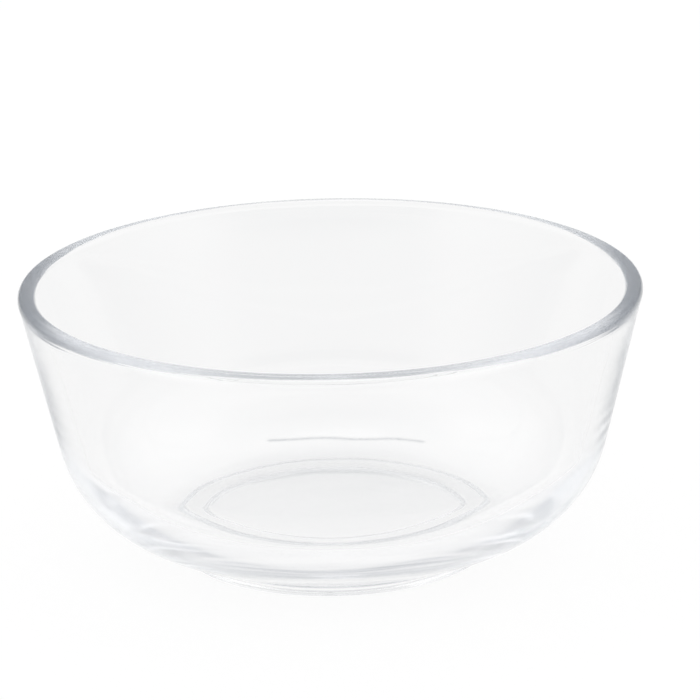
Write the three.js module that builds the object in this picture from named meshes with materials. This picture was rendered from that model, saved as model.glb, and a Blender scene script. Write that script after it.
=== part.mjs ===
// Clear pressed-glass dessert bowl: one piece of glass, round about the vertical axis.
// Millimetres and degrees, +Z up. The origin is on the table, at the centre of the foot ring.
import * as THREE from 'three';

// Overall size
const rimRadius = 57.5;
const bowlHeight = 51;

// Lip: a fire-polished edge whose bead stands a little out from the wall
const lipThickness = 3.3;
const lipOuterRound = 1.2;
const lipInnerRound = 1.4;
const lipBand = 0.4;
const beadDepth = 0.3;
const beadRise = 1;

// Outside: a wall with the mould's draft, a tight bend and a low sloping underside
const wallDraft = 13.4;
const outerBend = 23.5;
const undersideSlope = 20.7;

// Foot: a low ring round a shallow recess
const footRadius = 29;
const footWidth = 4.5;
const footHeight = 2;
const footRound = 0.6;
const footFillet = 0.8;
const recessDepth = 1.5;

// Inside: a thick flat floor, a round bend and a wall that thickens downwards
const baseThickness = 7.25;
const innerBend = 19.8;
const wallTaper = 0.8;

// Facets: how far a chord may leave a true arc, and the steps in one turn of the bowl
const chordError = 0.03;
const turnSteps = 80;

const radians = THREE.MathUtils.degToRad;

// A unit vector at an angle from the +X axis, in the plane of the section.
function unit(angle) {
  return new THREE.Vector2(Math.cos(radians(angle)), Math.sin(radians(angle)));
}

// The centre of an arc that touches two straight lines. Each line has a point on it and a unit
// vector square to it, towards the arc's centre. With radius 0 this is where the lines cross.
function arcCentre(pointA, towardsA, pointB, towardsB, radius) {
  const reachA = towardsA.dot(pointA) + radius;
  const reachB = towardsB.dot(pointB) + radius;
  const spread = towardsA.cross(towardsB);
  return new THREE.Vector2(
    (reachA * towardsB.y - reachB * towardsA.y) / spread,
    (reachB * towardsA.x - reachA * towardsB.x) / spread,
  );
}

// An arc on a path, between two angles in degrees. The path runs straight to its start.
function addArc(path, centre, radius, startAngle, endAngle) {
  const clockwise = endAngle < startAngle;
  path.absarc(centre.x, centre.y, radius, radians(startAngle), radians(endAngle), clockwise);
}

// The points of a path: the ends of its straight stretches, and steps along its arcs.
// Where one arc runs straight on into the next, their shared end is one point.
function pathPoints(path) {
  const points = [path.curves[0].getPoint(0)];
  for (const curve of path.curves) {
    let steps = 1;
    if (curve.isEllipseCurve) {
      const turn = Math.abs(curve.aEndAngle - curve.aStartAngle);
      steps = Math.ceil(turn / (2 * Math.acos(1 - chordError / curve.xRadius)));
    }
    const ahead = curve.getPoints(steps).slice(1);
    points.push(...ahead.filter((point) => point.distanceTo(points.at(-1)) > chordError));
  }
  return points;
}

// Underside of the bowl: the recess, and the foot ring that it stands on.
function addFoot(path) {
  const innerRadius = footRadius - footWidth;
  const coveRound = recessDepth - footRound;
  path.moveTo(0, recessDepth);
  path.lineTo(innerRadius - coveRound, recessDepth);
  addArc(path, new THREE.Vector2(innerRadius - coveRound, footRound), coveRound, 90, 0);
  addArc(path, new THREE.Vector2(innerRadius + footRound, footRound), footRound, 180, 270);
  addArc(path, new THREE.Vector2(footRadius - footRound, footRound), footRound, -90, 0);
}

// Outside from the foot to the bead under the lip. The bend ends at the fillet over the foot.
function addOutside(path) {
  const footTop = new THREE.Vector2(footRadius, footHeight);
  const wallTop = new THREE.Vector2(
    rimRadius - beadDepth,
    bowlHeight - lipOuterRound - lipBand - beadRise,
  );
  const intoUnderside = unit(90 + undersideSlope);
  const intoWall = unit(180 - wallDraft);
  const outOfUnderside = intoUnderside.clone().negate();
  const filletCentre = arcCentre(footTop, unit(0), footTop, outOfUnderside, footFillet);
  addArc(path, filletCentre, footFillet, 180, 90 + undersideSlope);

  const corner = arcCentre(footTop, intoUnderside, wallTop, intoWall, 0);
  const bendTurn = radians(90 - undersideSlope - wallDraft);
  const filletLength = footFillet * Math.tan(radians(90 - undersideSlope) / 2);
  const freeLength = corner.distanceTo(footTop) - filletLength;
  const bendRadius = Math.min(outerBend, freeLength / Math.tan(bendTurn / 2));
  const bendCentre = arcCentre(footTop, intoUnderside, wallTop, intoWall, bendRadius);
  addArc(path, bendCentre, bendRadius, undersideSlope - 90, -wallDraft);
  path.lineTo(wallTop.x, wallTop.y);
}

// Lip: the bead's slope, a short upright band and a rounded top.
function addLip(path) {
  path.lineTo(rimRadius, bowlHeight - lipOuterRound - lipBand);
  const outerCentre = new THREE.Vector2(rimRadius - lipOuterRound, bowlHeight - lipOuterRound);
  const innerCentre = new THREE.Vector2(
    rimRadius - lipThickness + lipInnerRound,
    bowlHeight - lipInnerRound,
  );
  addArc(path, outerCentre, lipOuterRound, 0, 90);
  addArc(path, innerCentre, lipInnerRound, 90, 180 - wallDraft - wallTaper);
}

// Inside from the lip down the wall and round the bend to the middle of the floor.
function addInside(path) {
  const innerDraft = wallDraft + wallTaper;
  const floorHeight = recessDepth + baseThickness;
  const floorCentre = new THREE.Vector2(0, floorHeight);
  const wallTop = path.currentPoint.clone();
  const bendCentre = arcCentre(wallTop, unit(180 - innerDraft), floorCentre, unit(90), innerBend);
  addArc(path, bendCentre, innerBend, -innerDraft, -90);
  path.lineTo(floorCentre.x, floorCentre.y);
}

const section = new THREE.Path();
addFoot(section);
addOutside(section);
addLip(section);
addInside(section);

const bowlGeometry = new THREE.LatheGeometry(pathPoints(section), turnSteps);
bowlGeometry.rotateX(Math.PI / 2);

const clearGlass = new THREE.MeshStandardMaterial({
  color: 0xf1f4f6,
  roughness: 0.05,
  metalness: 0,
  transparent: true,
  opacity: 0.35,
});

const bowl = new THREE.Mesh(bowlGeometry, clearGlass);
bowl.name = 'bowl';

const dessertBowl = new THREE.Group();
dessertBowl.add(bowl);

export default dessertBowl;
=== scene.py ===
import math

import bpy
from mathutils import Matrix, Vector, noise


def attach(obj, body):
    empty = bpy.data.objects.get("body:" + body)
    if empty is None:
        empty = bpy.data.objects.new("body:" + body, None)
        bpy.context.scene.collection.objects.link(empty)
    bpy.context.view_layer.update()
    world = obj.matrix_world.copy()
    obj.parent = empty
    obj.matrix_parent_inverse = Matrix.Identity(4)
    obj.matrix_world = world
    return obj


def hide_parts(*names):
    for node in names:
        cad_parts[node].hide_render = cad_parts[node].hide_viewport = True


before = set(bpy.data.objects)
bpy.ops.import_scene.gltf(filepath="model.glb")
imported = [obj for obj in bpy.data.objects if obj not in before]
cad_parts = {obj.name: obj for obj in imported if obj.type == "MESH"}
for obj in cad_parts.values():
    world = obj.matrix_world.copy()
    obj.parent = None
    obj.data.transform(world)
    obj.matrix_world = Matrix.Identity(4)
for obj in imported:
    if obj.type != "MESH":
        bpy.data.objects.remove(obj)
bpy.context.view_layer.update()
mm = 0.001
print("frame loaded, nodes:", sorted(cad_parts))


class Wire:
    # a socket on the node bench; sums and products of wires add Math nodes

    def __init__(self, bench, socket):
        self.bench = bench
        self.socket = socket

    def sum(self, operation, first, second):
        return self.bench.add("ShaderNodeMath", {"operation": operation}, {0: first, 1: second})

    def __add__(self, other):
        return self.sum("ADD", self, other)

    def __radd__(self, other):
        return self.sum("ADD", other, self)

    def __sub__(self, other):
        return self.sum("SUBTRACT", self, other)

    def __rsub__(self, other):
        return self.sum("SUBTRACT", other, self)

    def __mul__(self, other):
        return self.sum("MULTIPLY", self, other)

    def __rmul__(self, other):
        return self.sum("MULTIPLY", other, self)

    def __truediv__(self, other):
        return self.sum("DIVIDE", self, other)

    def __rtruediv__(self, other):
        return self.sum("DIVIDE", other, self)

    def __gt__(self, other):
        return self.sum("GREATER_THAN", self, other)


class Bench:
    # one node tree, emptied, with a single way to put a node on it

    def __init__(self, tree):
        self.tree = tree
        tree.nodes.clear()

    def add(self, kind, settings, sockets, out=0):
        node = self.tree.nodes.new(kind)
        for name, value in settings.items():
            if name == "stops":
                ramp = node.color_ramp
                while len(ramp.elements) < len(value):
                    ramp.elements.new(1)
                for element, (place, colour) in zip(ramp.elements, value):
                    element.position = place
                    element.color = colour
            else:
                setattr(node, name, value)
        for name, value in sockets.items():
            if isinstance(value, Wire):
                self.tree.links.new(value.socket, node.inputs[name])
            else:
                node.inputs[name].default_value = value
        return Wire(self, node.outputs[out]) if len(node.outputs) else None


def newMaterial(name):
    material = bpy.data.materials.new(name)
    material.use_nodes = True
    return material, Bench(material.node_tree)


def splitWays(bench, vector):
    outputs = bench.add("ShaderNodeSeparateXYZ", {}, {0: vector}).socket.node.outputs
    return [Wire(bench, output) for output in outputs]


def fadeOut(bench, value, start, end):
    return bench.add(
        "ShaderNodeMapRange",
        {"interpolation_type": "SMOOTHSTEP"},
        {"Value": value, "From Min": start, "From Max": end, "To Min": 1, "To Max": 0},
    )


# Camera: where it stands round the bowl, and where the bowl sits in a 700 px square picture

cameraView = {
    "aim": Vector((0, 0, 0.025)),
    "distance": 0.9,
    "elevation": 18.34,
    "roll": -1.165,
    "focalPixels": 4846,
    "aimPixel": (332.8, 415.9),
    "pictureSize": 700,
    "sensor": 36,
    "farClip": 50,
}


def placeCamera(view):
    tilt = math.radians(view["elevation"])
    roll = math.radians(view["roll"])
    half = view["pictureSize"] / 2
    stand = view["aim"] + view["distance"] * Vector((0, -math.cos(tilt), math.sin(tilt)))
    ahead = (view["aim"] - stand).normalized()
    levelRight = Vector((1, 0, 0))
    levelUp = levelRight.cross(ahead)
    right = levelRight * math.cos(roll) + levelUp * math.sin(roll)
    up = levelUp * math.cos(roll) - levelRight * math.sin(roll)
    across = (view["aimPixel"][0] - half) / view["focalPixels"]
    down = (view["aimPixel"][1] - half) / view["focalPixels"]
    look = (ahead - right * across + up * down).normalized()
    right = (right - look * right.dot(look)).normalized()
    up = right.cross(look)

    bpy.ops.object.camera_add()
    camera = bpy.context.object
    camera.name = "camera"
    camera.data.sensor_width = view["sensor"]
    camera.data.lens = view["focalPixels"] * view["sensor"] / view["pictureSize"]
    camera.data.clip_end = view["farClip"]
    turn = Matrix((right, up, -look)).transposed().to_4x4()
    camera.matrix_world = Matrix.Translation(stand) @ turn
    bpy.context.scene.camera = camera


bpy.ops.object.select_all(action="DESELECT")
placeCamera(cameraView)
print("camera placed")


# Bowl: the half section is drawn with one vertex, then turned about the upright axis

bowlShape = {
    "rimRadius": 57.5,
    "height": 51,
    "lipThickness": 3.3,
    "lipOuterRound": 1.2,
    "lipInnerRound": 1.4,
    "lipBand": 0.4,
    "beadDepth": 0.3,
    "beadRise": 1,
    "wallDraft": 13.4,
    "outerBend": 23.5,
    "undersideSlope": 20.7,
    "footRadius": 29,
    "footWidth": 4.5,
    "footHeight": 2,
    "footRound": 0.6,
    "footFillet": 0.8,
    "recessDepth": 1.5,
    "baseThickness": 7.25,
    "innerBend": 19.8,
    "wallTaper": 0.8,
    "straightStep": 1.6,
    "wallSteps": 4,
    "footSteps": 8,
    "bendSteps": 30,
    "lipSteps": 12,
    "turnSteps": 320,
    "mergeGap": 0.002,
    "floorRipple": {"height": 0.34, "size": 22, "low": 8, "high": 16, "fade": 5},
    "recessRipple": {"height": 0.8, "size": 18, "low": 0.3, "high": 1.7, "fade": 0.3},
    "crease": {
        "middle": (2.5, 33),
        "half": 16.5,
        "sag": 2.85,
        "tilt": 1.7,
        "wobble": 0.8,
        "wobbleSize": 8,
        "width": 0.5,
        "depth": 0.4,
        "endSteepness": 12,
        "low": 8,
        "fineMargin": 1.3,
        "fineHalf": 1.2,
        "fineCuts": 5,
    },
}
leastLean = 0.2  # how far a normal leans towards a side before it counts as facing it


def heading(angle):
    return Vector((math.cos(math.radians(angle)), math.sin(math.radians(angle))))


def roundCentre(pointA, towardsA, pointB, towardsB, radius):
    # centre of a round that touches two straight lines, each given by a point and its inward side
    reachA = towardsA.dot(pointA) + radius
    reachB = towardsB.dot(pointB) + radius
    spread = towardsA.cross(towardsB)
    return Vector((
        (reachA * towardsB.y - reachB * towardsA.y) / spread,
        (reachB * towardsA.x - reachA * towardsB.x) / spread,
    ))


class SectionPen:
    # draws in the XZ plane, in millimetres: extrudes straight stretches and spins the rounds

    touching = 1e-3

    def __init__(self, x, z, step):
        self.spot = Vector((x, z))
        self.step = step
        bpy.ops.mesh.primitive_plane_add(size=mm, location=(x * mm, 0, z * mm))
        bpy.ops.object.transform_apply(location=True, rotation=True, scale=True)
        bpy.ops.object.mode_set(mode="EDIT")
        bpy.ops.mesh.select_mode(type="VERT")
        bpy.ops.mesh.select_all(action="SELECT")
        bpy.ops.mesh.merge(type="CENTER")

    def lineTo(self, spot, count=None):
        run = spot - self.spot
        count = count or max(1, round(run.length / self.step))
        move = run / count * mm
        for _ in range(count):
            bpy.ops.mesh.extrude_vertices_move(
                TRANSFORM_OT_translate={"value": (move.x, 0, move.y)}
            )
        self.spot = spot

    def roundTo(self, centre, radius, startAngle, endAngle, steps):
        start = centre + radius * heading(startAngle)
        if (start - self.spot).length > self.touching:
            self.lineTo(start)
        bpy.ops.mesh.spin(
            steps=steps,
            angle=math.radians(endAngle - startAngle),
            center=(centre.x * mm, 0, centre.y * mm),
            axis=(0, 1, 0),
        )
        self.spot = centre + radius * heading(endAngle)


def drawSection(shape):
    # draws the whole half section, and gives back the centre of the inner bend
    rim, tall = shape["rimRadius"], shape["height"]
    foot, soft = shape["footRadius"], shape["footRound"]
    footSteps, bendSteps, lipSteps = shape["footSteps"], shape["bendSteps"], shape["lipSteps"]
    footInside = foot - shape["footWidth"]
    cove = shape["recessDepth"] - soft
    pen = SectionPen(0, shape["recessDepth"], shape["straightStep"])

    # recess and foot ring
    pen.roundTo(Vector((footInside - cove, soft)), cove, 90, 0, footSteps)
    pen.roundTo(Vector((footInside + soft, soft)), soft, 180, 270, footSteps)
    pen.roundTo(Vector((foot - soft, soft)), soft, -90, 0, footSteps)

    # underside, outer bend and wall
    slope, draft = shape["undersideSlope"], shape["wallDraft"]
    footTop = Vector((foot, shape["footHeight"]))
    upperBand = tall - shape["lipOuterRound"] - shape["lipBand"]
    wallTop = Vector((rim - shape["beadDepth"], upperBand - shape["beadRise"]))
    underside, wall = heading(90 + slope), heading(180 - draft)
    fillet, bend = shape["footFillet"], shape["outerBend"]
    filletCentre = roundCentre(footTop, heading(0), footTop, -underside, fillet)
    pen.roundTo(filletCentre, fillet, 180, 90 + slope, footSteps)
    bendCentre = roundCentre(footTop, underside, wallTop, wall, bend)
    pen.roundTo(bendCentre, bend, slope - 90, -draft, bendSteps)
    pen.lineTo(wallTop, shape["wallSteps"])

    # lip
    pen.lineTo(Vector((rim, upperBand)))
    outer, inner = shape["lipOuterRound"], shape["lipInnerRound"]
    innerDraft = draft + shape["wallTaper"]
    pen.roundTo(Vector((rim - outer, tall - outer)), outer, 0, 90, lipSteps)
    innerCentre = Vector((rim - shape["lipThickness"] + inner, tall - inner))
    pen.roundTo(innerCentre, inner, 90, 180 - innerDraft, lipSteps)

    # inside wall, inner bend and floor
    floorMiddle = Vector((0, shape["recessDepth"] + shape["baseThickness"]))
    bend = shape["innerBend"]
    bendCentre = roundCentre(pen.spot, heading(180 - innerDraft), floorMiddle, heading(90), bend)
    pen.lineTo(bendCentre + bend * heading(-innerDraft), shape["wallSteps"])
    pen.roundTo(bendCentre, bend, -innerDraft, -90, bendSteps)
    pen.lineTo(floorMiddle)
    return bendCentre


def eased(share):
    return share * share * (3 - 2 * share)


def displace(piece, shares, height, texture=None):
    # moves vertices along their normals, each by its share: both ways by a texture, else one way
    group = piece.vertex_groups.new(name="shares")
    for index, share in shares.items():
        group.add([index], share, "REPLACE")
    modifier = piece.modifiers.new("displace", "DISPLACE")
    modifier.texture = texture
    modifier.vertex_group = group.name
    modifier.mid_level = 0.5 if texture else 0
    modifier.strength = height * mm
    bpy.ops.object.modifier_apply(modifier=modifier.name)
    piece.vertex_groups.clear()


def addRipple(piece, ripple):
    # pressed glass isn't quite true: slow unevenness on what faces inwards, between two heights
    low, high, fade = (ripple[name] * mm for name in ("low", "high", "fade"))
    shares = {}
    for vertex in piece.data.vertices:
        outwards = Vector((vertex.co.x, vertex.co.y, 0)).normalized()
        facesIn = vertex.normal.z > leastLean or vertex.normal.dot(outwards) < -leastLean
        if facesIn and low < vertex.co.z < high:
            shares[vertex.index] = eased(min(1, (high - vertex.co.z) / fade))
    clouds = bpy.data.textures.new("ripple", "CLOUDS")
    clouds.noise_scale = ripple["size"] * mm
    clouds.noise_depth = 1
    displace(piece, shares, ripple["height"], clouds)


def creasePlace(crease, spot):
    # how far a spot is from the crease's wavy line, in millimetres, and along it, in half lengths
    along = (spot.x / mm - crease["middle"][0]) / crease["half"]
    wave = noise.noise(spot / (crease["wobbleSize"] * mm)) * crease["wobble"]
    line = crease["middle"][1] - along * along * crease["sag"] - along * crease["tilt"] + wave
    return abs(spot.y / mm - line), abs(along)


def refineBend(piece, crease, centre, bend):
    # small faces where the crease will run, on the true round of the inner bend
    for face in piece.data.polygons:
        away, along = creasePlace(crease, face.center)
        inside = face.normal.z > leastLean and face.center.z > crease["low"] * mm
        face.select = inside and away < crease["fineMargin"] and along < crease["fineHalf"]
    bpy.ops.object.mode_set(mode="EDIT")
    bpy.ops.mesh.subdivide(number_cuts=crease["fineCuts"])
    bpy.ops.object.mode_set(mode="OBJECT")
    for vertex in piece.data.vertices:
        reach = math.hypot(vertex.co.x, vertex.co.y) - centre.x
        if vertex.select and reach > 0:
            vertex.co.z = centre.y - math.sqrt(bend * bend - reach * reach)


def addCrease(piece, crease):
    # a fine wavy crease at the back of the inner bend, left where the molten glass was cut
    shares = {}
    for vertex in piece.data.vertices:
        away, along = creasePlace(crease, vertex.co)
        inside = vertex.normal.z > leastLean and vertex.co.z > crease["low"] * mm
        if inside and away < crease["width"] and along < 1:
            ends = min(1, (1 - along) * crease["endSteepness"])
            shares[vertex.index] = eased((1 - away / crease["width"]) * ends)
    displace(piece, shares, -crease["depth"])


def makeBowl(shape):
    bendCentre = drawSection(shape)
    bpy.ops.mesh.select_all(action="SELECT")
    bpy.ops.mesh.spin(
        steps=shape["turnSteps"],
        angle=math.tau,
        center=(0, 0, 0),
        axis=(0, 0, 1),
        use_auto_merge=True,
    )
    bpy.ops.mesh.select_all(action="SELECT")
    bpy.ops.mesh.remove_doubles(threshold=shape["mergeGap"] * mm)
    bpy.ops.mesh.normals_make_consistent(inside=False)
    bpy.ops.mesh.select_all(action="DESELECT")
    bpy.ops.mesh.select_mode(type="FACE")
    bpy.ops.object.mode_set(mode="OBJECT")
    bpy.ops.object.shade_smooth()
    piece = bpy.context.object
    piece.name = "glass_bowl"
    refineBend(piece, shape["crease"], bendCentre * mm, shape["innerBend"] * mm)
    addRipple(piece, shape["floorRipple"])
    addRipple(piece, shape["recessRipple"])
    addCrease(piece, shape["crease"])
    return piece


bpy.ops.object.select_all(action="DESELECT")
glassBowl = makeBowl(bowlShape)
print("bowl turned,", len(glassBowl.data.polygons), "faces")


# Clear glass: lengths in millimetres, noise scales per metre

glassLook = {
    "ior": 1.5,
    "tint": (0.945, 0.9495, 0.956, 1),
    "tintDensity": 27,
    "cleanRoughness": 0.035,
    "smudgeRoughness": 0.02,
    "smudgeScale": 60,
    "wornRoughness": 0.22,
    "wornBand": (0.1, 0.3),
    "scuffScale": 900,
    "waveHeight": 0.03,
    "waveScale": 70,
    "streakHeight": 0.03,
    "streakWidth": 0.4,
    "streakLength": 25,
    "streakBand": (47.5, 49),
}


def makeGlass(look):
    material, bench = newMaterial("bowl_glass")
    place = bench.add("ShaderNodeTexCoord", {}, {}, "Object")
    x, y, z = splitWays(bench, place)
    radius = bench.add("ShaderNodeMath", {"operation": "SQRT"}, {0: x * x + y * y})

    def speckle(name, detail):
        sockets = {"Vector": place, "Scale": look[name], "Detail": detail}
        return bench.add("ShaderNodeTexNoise", {}, sockets)

    def overBand(name):
        start, end = look[name]
        return fadeOut(bench, z, start * mm, end * mm)

    # smudges all over, and scuffs where the foot stands
    smudge = speckle("smudgeScale", 3)
    scuffs = speckle("scuffScale", 2)
    roughness = (
        look["cleanRoughness"]
        + smudge * smudge * look["smudgeRoughness"]
        + overBand("wornBand") * scuffs * look["wornRoughness"]
    )

    # slow waves all over, and fine streaks that run round the fire-polished lip
    waves = speckle("waveScale", 1)
    fine, slow = 1 / (look["streakWidth"] * mm), 1 / (look["streakLength"] * mm)
    grain = bench.add("ShaderNodeCombineXYZ", {}, {0: radius * fine, 1: z * fine, 2: x * slow})
    streaks = bench.add(
        "ShaderNodeTexNoise",
        {"noise_dimensions": "4D"},
        {"Vector": grain, "W": y * slow, "Scale": 1, "Detail": 1},
    )
    lip = 1 - overBand("streakBand")
    relief = waves * look["waveHeight"] + lip * streaks * look["streakHeight"]

    normal = bench.add("ShaderNodeBump", {}, {"Strength": 1, "Distance": mm, "Height": relief})
    glass = bench.add("ShaderNodeBsdfPrincipled", {}, {
        "Base Color": (1, 1, 1, 1),
        "Roughness": roughness,
        "IOR": look["ior"],
        "Transmission Weight": 1,
        "Normal": normal,
    })
    depth = bench.add(
        "ShaderNodeVolumeAbsorption", {}, {"Color": look["tint"], "Density": look["tintDensity"]}
    )
    bench.add("ShaderNodeOutputMaterial", {}, {"Surface": glass, "Volume": depth})
    return material


glassBowl.data.materials.clear()
glassBowl.data.materials.append(makeGlass(glassLook))
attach(glassBowl, "root")
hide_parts("bowl")
print("glass on")


# Studio: a white floor and a pale surround. The glass sees the floor's levels by distance from
# the bowl, a painted shade under the foot and a painted lighter ring round it, and the surround's
# by height, at the sides, behind the bowl and in front of it.

studio = {
    "floorRadius": 4,
    "floorSides": 64,
    "floorDrop": 0.05,
    "floorPaint": 0.08,
    "floorGlow": 0.93,
    "floorReach": 200,
    # painted shade and light on the floor as the glass sees it: darker under the foot, lighter in
    # a ring round it
    "floorPaintedShadeAndLight": [
        (0.0, 0.94), (0.15, 0.94), (0.18, 0.99), (0.26, 0.99), (0.36, 0.945), (1.0, 0.945),
    ],
    "light": 1.0,
    "sides": [
        (0.0, 0.7), (0.1, 0.84), (0.22, 1.1), (0.35, 1.2),
        (0.5, 1.3), (0.8, 1.3), (0.9, 0.8), (1.0, 0.68),
    ],
    "behind": [
        (0.0, 0.55), (0.12, 0.62), (0.2, 0.72), (0.42, 0.78),
        (0.53, 0.88), (0.8, 0.92), (0.9, 0.8), (1.0, 0.68),
    ],
    "inFront": [
        (0.0, 0.72), (0.2, 0.7), (0.25, 0.3), (0.42, 0.34),
        (0.52, 1.25), (0.8, 1.25), (0.9, 0.62), (1.0, 0.68),
    ],
    "roomTint": [
        (0.0, (0.6, 0.78, 1, 1)),
        (0.35, (0.78, 0.88, 1, 1)),
        (0.65, (0.965, 0.98, 1, 1)),
        (1.0, (1, 1, 1, 1)),
    ],
    "sideEdge": (0.25, 0.75),
    "frontEdge": (-0.3, 0.3),
    "softboxElevation": 54,
    "softboxHalf": (0.05, 0.14),
    "softboxEdge": 0.06,
    "softboxLevel": 1.5,
    "softboxLeastAhead": 0.1,
    "overheadGuard": 0.0001,
    "bounces": 240,
}


def grey(level):
    return (level, level, level, 1)


def levelRamp(bench, levels, place):
    stops = [(spot, grey(level)) for spot, level in levels]
    return bench.add("ShaderNodeValToRGB", {"stops": stops}, {"Fac": place})


def rayKinds(bench):
    # the camera's own rays, and the rays by which glass sees what is around it
    camera = bench.add("ShaderNodeLightPath", {}, {}, "Is Camera Ray")
    outputs = camera.socket.node.outputs
    glossy = Wire(bench, outputs["Is Glossy Ray"])
    through = Wire(bench, outputs["Is Transmission Ray"])
    return camera, bench.add("ShaderNodeMath", {"operation": "MAXIMUM"}, {0: glossy, 1: through})


def makeFloor(look):
    bpy.ops.mesh.primitive_circle_add(
        vertices=look["floorSides"],
        radius=look["floorRadius"],
        fill_type="NGON",
        location=(0, 0, -look["floorDrop"] * mm),
    )
    floor = bpy.context.object
    floor.name = "floor"
    material, bench = newMaterial("floor_white")
    camera, glass = rayKinds(bench)
    paint = bench.add("ShaderNodeBsdfDiffuse", {}, {"Color": grey(look["floorPaint"])})
    glowStrength = camera * look["floorGlow"]
    glow = bench.add("ShaderNodeEmission", {}, {"Color": grey(1), "Strength": glowStrength})
    lit = bench.add("ShaderNodeAddShader", {}, {0: paint, 1: glow})
    # what the glass sees of the floor: a painted shade under the foot and a painted lighter ring
    # round it, even further out
    place = bench.add("ShaderNodeTexCoord", {}, {}, "Object")
    reach = bench.add("ShaderNodeVectorMath", {"operation": "LENGTH"}, {0: place}, "Value")
    level = levelRamp(bench, look["floorPaintedShadeAndLight"], reach / (look["floorReach"] * mm))
    seen = bench.add("ShaderNodeEmission", {}, {"Color": level})
    mixed = bench.add("ShaderNodeMixShader", {}, {0: glass, 1: lit, 2: seen})
    bench.add("ShaderNodeOutputMaterial", {}, {"Surface": mixed})
    floor.data.materials.append(material)


def makeSurround(bench, look):
    way = bench.add("ShaderNodeTexCoord", {}, {}, "Generated")
    across, along, up = splitWays(bench, way)

    def wall(name):
        return levelRamp(bench, look[name], up)

    def towards(direction):
        sockets = {0: way, 1: direction}
        return bench.add("ShaderNodeVectorMath", {"operation": "DOT_PRODUCT"}, sockets, "Value")

    # walls in front and behind, blended round into the sides
    level = across * across + along * along + look["overheadGuard"]
    inFront = fadeOut(bench, along, *look["frontEdge"])
    onEnds = fadeOut(bench, across * across / level, *look["sideEdge"])
    ends = inFront * wall("inFront") + (1 - inFront) * wall("behind")
    around = onEnds * ends + (1 - onEnds) * wall("sides")

    # softbox over the back
    tilt = math.radians(look["softboxElevation"])
    ahead = towards((0, math.cos(tilt), math.sin(tilt)))
    offsets = [across / ahead, towards((0, -math.sin(tilt), math.cos(tilt))) / ahead]
    lamp = ahead > look["softboxLeastAhead"]
    for offset, half in zip(offsets, look["softboxHalf"]):
        size = bench.add("ShaderNodeMath", {"operation": "ABSOLUTE"}, {0: offset})
        lamp = lamp * fadeOut(bench, size, half, half + look["softboxEdge"])
    return around * (1 - lamp) + lamp * look["softboxLevel"]


def makeWorld(look):
    world = bpy.data.worlds.new("studio")
    bpy.context.scene.world = world
    world.use_nodes = True
    bench = Bench(world.node_tree)
    camera, glass = rayKinds(bench)
    level = makeSurround(bench, look)
    tint = bench.add("ShaderNodeValToRGB", {"stops": look["roomTint"]}, {"Fac": level})
    around = bench.add("ShaderNodeBackground", {}, {"Color": tint, "Strength": level})
    plain = bench.add("ShaderNodeBackground", {}, {"Color": grey(look["light"])})
    white = bench.add("ShaderNodeBackground", {}, {"Color": grey(1)})
    seen = bench.add("ShaderNodeMixShader", {}, {0: glass, 1: plain, 2: around})
    seen = bench.add("ShaderNodeMixShader", {}, {0: camera, 1: seen, 2: white})
    bench.add("ShaderNodeOutputWorld", {}, {"Surface": seen})


bpy.ops.object.select_all(action="DESELECT")
makeFloor(studio)
makeWorld(studio)
bpy.context.scene.view_settings.view_transform = "Standard"
bpy.context.scene.cycles.max_bounces = studio["bounces"]  # light runs far inside the lip
bpy.context.scene.cycles.transmission_bounces = studio["bounces"]
bpy.context.scene.cycles.glossy_bounces = studio["bounces"]
print("studio ready")
